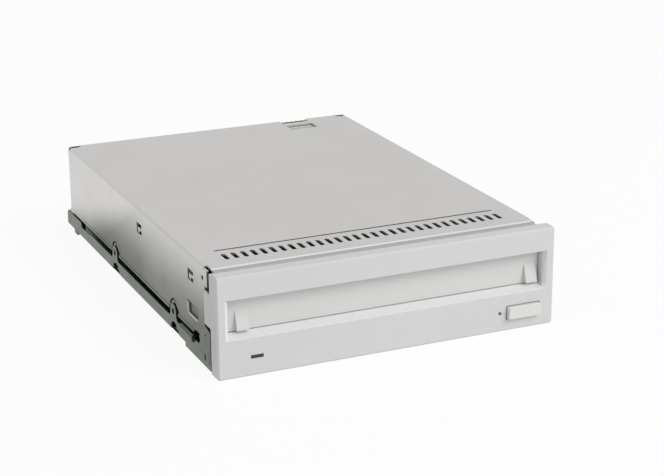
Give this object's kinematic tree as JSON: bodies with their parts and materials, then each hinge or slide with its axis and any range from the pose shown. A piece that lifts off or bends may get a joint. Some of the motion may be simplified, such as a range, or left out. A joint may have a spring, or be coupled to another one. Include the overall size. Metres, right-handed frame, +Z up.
{
  "type": "magneto-optical disc drive",
  "caption": "Half-height slot-loading optical cartridge drive: bezel with inward-swinging flap door, eject button, folded steel cover and chassis, loading and optical mechanism inside.",
  "frame": {"origin": "middle of the drive's length and width, on the plane it stands on", "axes": "+X to the right seen from in front, +Y from the bezel to the rear, +Z up"},
  "size_m": [0.148, 0.212, 0.042],
  "materials": {
    "bezel_plastic": "moulded, fine satin grain",
    "door_plastic": "moulded, satin",
    "button_plastic": "moulded, satin",
    "black_plastic": "moulded, matt",
    "white_plastic": "moulded acetal",
    "amber_plastic": "glass-filled, glossy",
    "smoked_plastic": "clear moulding, smoked",
    "lamp_plastic": "amber lamp",
    "cover_steel": "zinc-coated, satin",
    "chassis_steel": "yellow-green zinc plate",
    "plated_steel": "nickel plate",
    "bright_steel": "ground",
    "spring_steel": "drawn wire",
    "cast_aluminium": "die-cast",
    "turned_aluminium": "turned",
    "ferrite": "sintered, coated",
    "copper": "enamelled winding",
    "brass": "turned",
    "pin_gold": "flash-plated",
    "board_green": "solder mask",
    "rubber": "soft",
    "lens_glass": "coated"
  },
  "bodies": {
    "chassis_body": {"front_bezel": "bezel_plastic", "door_hinge_pin": "bright_steel", "door_spring": "spring_steel", "button_spring": "spring_steel", "eject_switch": "black_plastic", "front_board": "board_green", "activity_lens": "smoked_plastic", "activity_led": "lamp_plastic", "chassis": "chassis_steel", "top_cover": "cover_steel", "base_deck": "cast_aluminium", "rubber_dampers": "rubber", "damper_screws": "plated_steel", "spindle_motor_base": "plated_steel", "stator_coils": "copper", "guide_rods": "bright_steel", "rod_clamps": "cast_aluminium", "coil_yokes": "plated_steel", "coil_magnets": "ferrite", "fixed_optics": "cast_aluminium", "optics_lid": "plated_steel", "lift_guides": "plated_steel", "guide_studs": "bright_steel", "loading_motor": "plated_steel", "gear_bracket": "plated_steel", "gear_shafts": "bright_steel", "control_board": "board_green", "board_screws": "plated_steel", "board_chips": "black_plastic", "scsi_connector": "black_plastic", "power_connector": "white_plastic", "power_pins": "plated_steel", "jumper_block": "black_plastic", "riser_board": "board_green", "riser_socket": "black_plastic", "flex_connector": "white_plastic", "riser_header": "black_plastic", "header_pins": "pin_gold", "cover_brackets": "chassis_steel", "cover_screws": "plated_steel"},
    "door": {"slot_door": "door_plastic"},
    "button": {"eject_button": "button_plastic"},
    "spindle": {"turntable": "turned_aluminium", "hub_magnet": "ferrite"},
    "carriage": {"optical_carriage": "cast_aluminium", "carriage_coils": "copper", "turning_mirror": "lens_glass"},
    "lens": {"lens_holder": "black_plastic", "objective_lens": "lens_glass"},
    "holder": {"cartridge_holder": "plated_steel", "holder_pins": "bright_steel", "bias_coil": "copper", "pressure_springs": "spring_steel", "lever_pivot": "bright_steel"},
    "lever": {"shutter_lever": "plated_steel"},
    "slider": {"loading_slider": "plated_steel"},
    "slider_wheel": {"slider_gear": "white_plastic"},
    "reduction_wheel": {"reduction_gear": "white_plastic"},
    "motor_rotor": {"motor_pinion": "brass", "motor_shaft": "bright_steel"}
  },
  "joints": [
    {"name": "door_hinge", "type": "hinge", "parent": "chassis_body", "child": "door", "pos_m": [0, -0.09763, 0.0352], "axis": [1, 0, 0], "range_deg": [0, 88], "stiffness_Nm_per_rad": 0.004, "springref_deg": -17.19},
    {"name": "button_press", "type": "slide", "parent": "chassis_body", "child": "button", "axis": [0, 1, 0], "range_m": [0, 0.0013], "stiffness_N_per_m": 300, "springref_m": -0.001, "deforming": ["button_spring"]},
    {"name": "spindle_spin", "type": "hinge", "parent": "chassis_body", "child": "spindle", "pos_m": [0, -0.02303, 0.012], "axis": [0, 0, 1], "continuous": true},
    {"name": "carriage_seek", "type": "slide", "parent": "chassis_body", "child": "carriage", "axis": [0, 1, 0], "range_m": [0, 0.033]},
    {"name": "lens_focus", "type": "slide", "parent": "carriage", "child": "lens", "axis": [0, 0, 1], "range_m": [-0.0004, 0.0004], "stiffness_N_per_m": 100},
    {"name": "slider_travel", "type": "slide", "parent": "chassis_body", "child": "slider", "axis": [0, 1, 0], "range_m": [0, 0.012]},
    {"name": "holder_lowering", "type": "slide", "parent": "chassis_body", "child": "holder", "axis": [0, 0, -1], "range_m": [0, 0.005]},
    {"name": "lever_swing", "type": "hinge", "parent": "holder", "child": "lever", "pos_m": [-0.022, 0.05198, 0.031], "axis": [0, 0, -1], "range_deg": [0, 56], "stiffness_Nm_per_rad": 0.004, "springref_deg": -17.19},
    {"name": "slider_gear_spin", "type": "hinge", "parent": "chassis_body", "child": "slider_wheel", "pos_m": [-0.058, 0.07197, 0.034], "axis": [0, 0, 1], "range_deg": [-172, 0]},
    {"name": "reduction_gear_spin", "type": "hinge", "parent": "chassis_body", "child": "reduction_wheel", "pos_m": [-0.044, 0.07197, 0.033], "axis": [0, 0, 1], "range_deg": [0, 630.5]},
    {"name": "motor_spin", "type": "hinge", "parent": "chassis_body", "child": "motor_rotor", "pos_m": [-0.03587, 0.08011, 0.032], "axis": [0, 0, 1], "range_deg": [-2270, 0]}
  ],
  "couplings": [
    {"joint": "holder_lowering", "follows": "slider_travel", "ratio": 0.41667},
    {"joint": "slider_gear_spin", "follows": "slider_travel", "rad_per_m": -250},
    {"joint": "reduction_gear_spin", "follows": "slider_travel", "rad_per_m": 916.67},
    {"joint": "motor_spin", "follows": "slider_travel", "rad_per_m": -3300}
  ]
}
